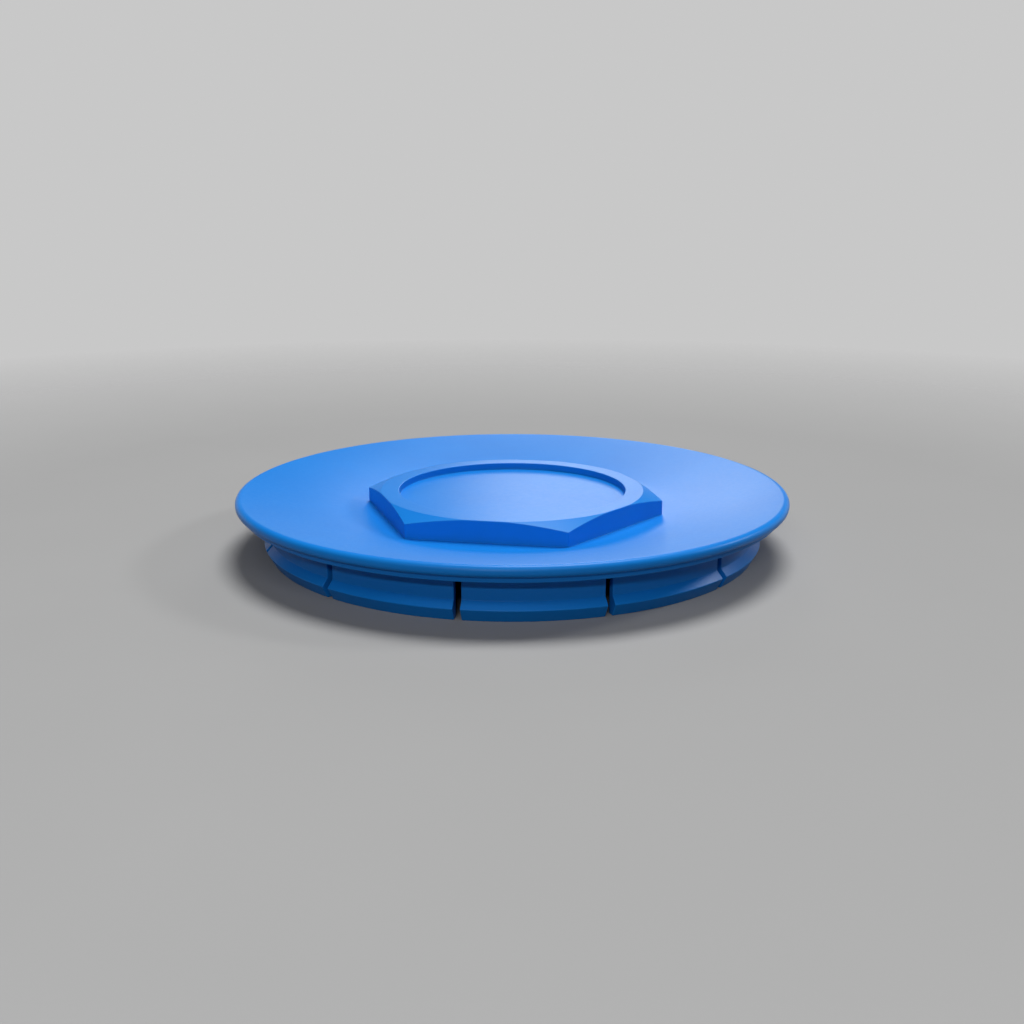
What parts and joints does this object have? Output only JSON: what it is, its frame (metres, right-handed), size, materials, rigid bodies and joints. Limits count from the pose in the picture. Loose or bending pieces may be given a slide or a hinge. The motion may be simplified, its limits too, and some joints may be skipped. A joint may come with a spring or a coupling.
{
  "type": "wheel center cap",
  "caption": "Dished round cap with a raised hexagon boss that covers the middle of a wheel, held in the wheel's bore by a slotted skirt of snap fingers.",
  "frame": {"origin": "centre of the ring of finger feet, on the plane that the cap stands on", "axes": "+Z is the axis of the wheel, out of the visible face; +X runs through a slot of the skirt and the middle of a flat of the boss"},
  "size_m": [0.1584, 0.1584, 0.0166],
  "materials": {
    "blue_plastic": "satin"
  },
  "bodies": {
    "root": {"wheel_center_cap": "blue_plastic"}
  },
  "joints": []
}
